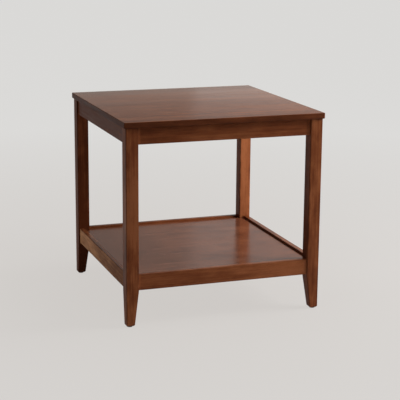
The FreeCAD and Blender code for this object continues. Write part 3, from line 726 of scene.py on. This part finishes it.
shelf_veneer = stained_wood("shelf_veneer", "X", shelf_stains, roughness=0.2, gloss=1.0, figure=0.6,
                            cloud=1.4, streak=(14 * mm, 200 * mm), patch=(48 * mm, 80 * mm),
                            ripple=0.03 * mm)
lipping_x = stained_wood("lipping_x", "X", lipping_stains, figure=0.7)
lipping_y = stained_wood("lipping_y", "Y", side_lipping_stains, figure=0.7)
backing = stained_wood("backing", "X", panel_stains, roughness=0.6)
shelf = bench_copy("shelf_panel", "veneered_shelf")
grade(shelf, "X", SHELF_PAINTED_LIGHT)
lay_panel(shelf, "shelf_panel", "shelf_veneer", shelf_veneer)

# ---- Shelf screws ----
# Two up through each cleat into the shelf, flush with the cleat's lower face, so that the shelf can't lift.
# The same screws as in the cleats.

SHELF_SCREW_INSET = 110 * mm             # from the cleat's end
shelf_screws = set_out("cross_recessed_shelf_screws", screw_25,
                       cleat_places((CLEAT_OUTER + CLEAT_INNER) / 2, SHELF_SCREW_INSET,
                                    SHELF_BOTTOM - CLEAT_HEIGHT, False, direction=(0, 0, 1)))
fit(shelf_screws, "shelf_screws", "screw_steel", yellow_zinc)

# ---- Top ----
# A 16 mm veneered board with the same lippings round its edges and the same backing, sprayed glossier than
# the frame. The upper arris is rounded over and the lower one is bevelled.

top_veneer = stained_wood("top_veneer", "X", panel_stains, roughness=0.2, gloss=0.15, figure=1.9,
                          streak=(10 * mm, 300 * mm), ripple=0.02 * mm)
top = bench_copy("top_panel", "veneered_top", rubbed=0.3)
lay_panel(top, "top_panel", "top_veneer", top_veneer)

# ---- Top screws ----
# Two in each corner block, driven up into the top from deep counterbores. The screws are those of the
# corner blocks, 35 mm long.

BLOCK_RISE = 9 * mm                      # from the lower edge of the aprons up to the block
COUNTERBORE = 11 * mm                    # deep, from below the block
TOP_SCREW_SPREAD = 11 * mm               # to each side of the hanger bolt
TOP_SCREW_LEVEL = APRON_BOTTOM + BLOCK_RISE + COUNTERBORE
top_screw_places = []
for point, inwards in along_diagonal((BLOCK_BACK_AT + BLOCK_FRONT_AT) / 2, TOP_SCREW_LEVEL):
    across = Vector((inwards.y, -inwards.x, 0)) * TOP_SCREW_SPREAD
    top_screw_places += [(point + across, (0, 0, 1)), (point - across, (0, 0, 1))]
top_screws = set_out("cross_recessed_top_screws", wood_screw(35 * mm), top_screw_places)
fit(top_screws, "top_screws", "screw_steel", yellow_zinc)

# ---- Glides ----
# A moulded disc of dark brown nylon under each foot, with a rounded rim and a hollow for the nail's head.
# The sole stands on a ring, and is scuffed where it slides.

GLIDE_RADIUS = 8 * mm
NAIL_HEAD_AT = 2 * mm                    # the seat of the nail's head, above the floor


def under_the_feet(height):
    """A place under the middle of each foot, heading up."""
    reach = FRAME_HALF - FOOT_SIZE / 2
    return [(Vector((x * reach, y * reach, height)), (0, 0, 1)) for x, y in CORNER_SIGNS]


def moulded_nylon():
    """Dark nylon with a fine sparked texture, greyer and duller low down, where it has rubbed on floors."""
    material, tree, surface = new_finish("moulded_nylon")
    place = shade(tree, "ShaderNodeTexCoord").outputs["Object"]
    grain = shade(tree, "ShaderNodeTexNoise", {"Vector": place, "Scale": 3200.0, "Detail": 2.0}).outputs[0]
    clouds = shade(tree, "ShaderNodeTexNoise", {"Vector": place, "Scale": 420.0, "Detail": 3.0}).outputs[0]
    height = shade(tree, "ShaderNodeSeparateXYZ", {"Vector": place}).outputs["Z"]
    scuffs = reckon(tree, "MULTIPLY", ranged(tree, height, 0.0, 0.9 * mm, 0.8, 0.0), clouds)
    tint = blend(tree, scuffs, (0.030, 0.021, 0.015, 1), (0.15, 0.125, 0.10, 1))
    tree.links.new(tint, surface.inputs["Base Color"])
    dull = reckon(tree, "MULTIPLY_ADD", scuffs, 0.35, 0.42)
    tree.links.new(reckon(tree, "MULTIPLY_ADD", grain, 0.1, dull), surface.inputs["Roughness"])
    bump = shade(tree, "ShaderNodeBump", {"Height": grain, "Strength": 0.3, "Distance": 0.02 * mm})
    tree.links.new(bump.outputs[0], surface.inputs["Normal"])
    surface.inputs["Specular IOR Level"].default_value = 0.45
    return material


nylon = moulded_nylon()
work = bmesh.new()
turned(work, [(0, 0.15 * mm), (3.0 * mm, 0.1 * mm), (4.0 * mm, 0), (6.4 * mm, 0), (7.0 * mm, 0.12 * mm),
              (7.5 * mm, 0.42 * mm), (7.85 * mm, 0.85 * mm), (GLIDE_RADIUS, 1.4 * mm),
              (GLIDE_RADIUS, GLIDE_THICKNESS), (4.0 * mm, GLIDE_THICKNESS), (4.0 * mm, NAIL_HEAD_AT),
              (0, NAIL_HEAD_AT)], sides=48)
disc = pattern_of(work, "glide")
for corner, place in zip(CORNERS, under_the_feet(0.0)):
    fit(set_out("moulded_glide_" + corner, disc, [place]), "glide_" + corner, "glide_nylon", nylon)

# ---- Glide nails ----
# A flat-headed steel nail, zinc plated, moulded into each glide and driven up into the foot.
# It is cut from wire, with a short blunt point.

NAIL_RADIUS = 1 * mm
NAIL_HEAD_RADIUS = 4 * mm
NAIL_HEAD_THICKNESS = 1 * mm
NAIL_LENGTH = 16 * mm
work = bmesh.new()
turned(work, [(0, 0), (3.7 * mm, 0), (NAIL_HEAD_RADIUS, 0.3 * mm), (NAIL_HEAD_RADIUS, 0.7 * mm),
              (3.7 * mm, NAIL_HEAD_THICKNESS), (NAIL_RADIUS, NAIL_HEAD_THICKNESS), (NAIL_RADIUS, 13.5 * mm),
              (0.2 * mm, 15.9 * mm), (0, NAIL_LENGTH)], sides=20)
nails = set_out("flat_headed_nails", pattern_of(work, "nail"), under_the_feet(NAIL_HEAD_AT))
fit(nails, "glide_nails", "plated_steel", zinc)

# ---- Floor, lights and camera ----
# A plain pale floor and room that look alike from every side, soft lamps round the table, and a camera
# a little above it and to its left. The floor keeps the table's shadow.

BACKGROUND = (0.754, 0.746, 0.731)
# Painted shadow: the seen floor is darker near the table.
NEAR_FLOOR_PAINTED_SHADOW = (0.658, 0.630, 0.605)
MATT_FLOOR = (0.6, 0.59, 0.58)           # what the lamps light, for the shadow
MIRRORED_ROOM = (0.76, 0.70, 0.645)      # warmer, as the far walls show in the lacquer
FLOOR_REACH = 40
FLOOR_DROP = 0.2 * mm                    # keeps the floor just clear of the glides
SENSOR_WIDTH = 36                        # millimetres
LENS_PER_FRAME = 3.0975                  # focal length over the frame's width
CAMERA_PLACE = (-1.1560, -3.3328, 1.0998)
CAMERA_YAW = 0.3405                      # radians, to the right of straight ahead
CAMERA_PITCH = 0.23057                   # downwards
CAMERA_ROLL = -0.00788


def seen_rays(tree):
    """The node that tells rays apart, and 1 for those that are seen, also mirrored or through glass."""
    rays = shade(tree, "ShaderNodeLightPath")
    seen = reckon(tree, "ADD", rays.outputs["Is Camera Ray"], rays.outputs["Is Glossy Ray"])
    return rays, reckon(tree, "ADD", seen, rays.outputs["Is Transmission Ray"], clamp=True)


def floor_finish():
    """Matt where it is lit and shadowed, and where it is seen mostly a plain colour, darker near the table
    as a painted shadow and paler far off.
    """
    material = bpy.data.materials.new("floor")
    material.use_nodes = True
    tree = material.node_tree
    tree.nodes.clear()
    rays, seen = seen_rays(tree)
    matt = shade(tree, "ShaderNodeBsdfDiffuse", {"Color": (*MATT_FLOOR, 1)})
    place = shade(tree, "ShaderNodeTexCoord").outputs["Object"]
    distance = shade(tree, "ShaderNodeVectorMath", {0: place}, operation="LENGTH").outputs["Value"]
    # Painted soft shadow round the table, fading to the plain colour far off.
    tone = blend(tree, ranged(tree, distance, 0.3, 2.8), (*NEAR_FLOOR_PAINTED_SHADOW, 1), (*BACKGROUND, 1))
    plain = shade(tree, "ShaderNodeEmission", {"Color": tone})
    mixed = shade(tree, "ShaderNodeMixShader", {0: reckon(tree, "MULTIPLY", seen, 0.93), 1: matt.outputs[0],
                                                2: plain.outputs[0]})
    output = shade(tree, "ShaderNodeOutputMaterial")
    tree.links.new(mixed.outputs[0], output.inputs["Surface"])
    return material


def softbox(name, place, aim, width, height, power, mirrored=True, spread=180):
    """A soft lamp. One that would show as a glare in a lacquered face isn't mirrored."""
    data = bpy.data.lights.new(name, "AREA")
    data.shape = "RECTANGLE"
    data.size = width
    data.size_y = height
    data.energy = power
    data.spread = math.radians(spread)
    lamp = bpy.data.objects.new(name, data)
    lamp.location = place
    lamp.visible_camera = False
    lamp.visible_glossy = mirrored
    lamp.rotation_euler = (Vector(aim) - Vector(place)).to_track_quat("-Z", "Y").to_euler()
    bpy.context.scene.collection.objects.link(lamp)


def studio_world():
    """A plain pale room, that lights the table only a little and shows in its lacquer as warmer walls."""
    world = bpy.data.worlds.new("studio")
    bpy.context.scene.world = world
    world.use_nodes = True
    tree = world.node_tree
    tree.nodes.clear()
    rays, seen = seen_rays(tree)
    directly = rays.outputs["Is Camera Ray"]
    fill = shade(tree, "ShaderNodeBackground", {"Color": (1, 1, 1, 1), "Strength": 0.03})
    place = shade(tree, "ShaderNodeTexCoord").outputs["Generated"]
    height = shade(tree, "ShaderNodeSeparateXYZ", {"Vector": place}).outputs["Z"]
    ceiling = ranged(tree, height, 0.02, 0.22, 0.9, 0.29)
    level = shade(tree, "ShaderNodeMix", {"Factor": directly, "A": ceiling, "B": 1.0})
    room = blend(tree, directly, (*MIRRORED_ROOM, 1), (*BACKGROUND, 1))
    plain = shade(tree, "ShaderNodeBackground", {"Color": room, "Strength": level.outputs[0]})
    mixed = shade(tree, "ShaderNodeMixShader", {0: seen, 1: fill.outputs[0], 2: plain.outputs[0]})
    output = shade(tree, "ShaderNodeOutputWorld")
    tree.links.new(mixed.outputs[0], output.inputs["Surface"])


floor_mesh = bpy.data.meshes.new("floor")
work = bmesh.new()
bmesh.ops.create_grid(work, x_segments=1, y_segments=1, size=FLOOR_REACH)
bmesh.ops.translate(work, verts=work.verts, vec=(0, 0, -FLOOR_DROP))
work.to_mesh(floor_mesh)
work.free()
floor_mesh.materials.append(floor_finish())
placed("floor", floor_mesh)

studio_world()
softbox("overhead", (0.0, -0.3, 2.4), (0, 0, 0.4), 1.8, 1.8, power=10)
softbox("right_high", (2.0, -0.6, 1.6), (0, 0, 0.3), 1.2, 1.2, power=90, mirrored=False)
softbox("right_big", (1.05, -0.35, 0.75), (0, -0.1, 0.4), 1.3, 1.1, power=3.5)
softbox("right_side", (0.9, -0.25, 0.27), (0.26, 0.26, 0.3), 0.3, 0.35, power=0.65, mirrored=False,
        spread=70)
softbox("left_high", (-2.0, -0.3, 1.4), (0, 0, 0.3), 1.2, 1.2, power=3)
softbox("left_low", (-0.75, 0.35, 0.12), (-0.28, 0.1, 0.12), 0.5, 0.2, power=0.55)
softbox("back_right", (1.8, 3.1, 1.2), (0.1, 0.1, 0.55), 1.4, 0.9, power=0.7)

camera_data = bpy.data.cameras.new("camera")
camera_data.sensor_width = SENSOR_WIDTH
camera_data.lens = LENS_PER_FRAME * SENSOR_WIDTH
camera = bpy.data.objects.new("camera", camera_data)
camera.location = CAMERA_PLACE
turn = Matrix.Rotation(-CAMERA_YAW, 3, "Z") @ Matrix.Rotation(math.pi / 2 - CAMERA_PITCH, 3, "X")
camera.rotation_euler = (turn @ Matrix.Rotation(-CAMERA_ROLL, 3, "Z")).to_euler()
bpy.context.scene.collection.objects.link(camera)
bpy.context.scene.camera = camera
bpy.context.scene.view_settings.view_transform = "Standard"
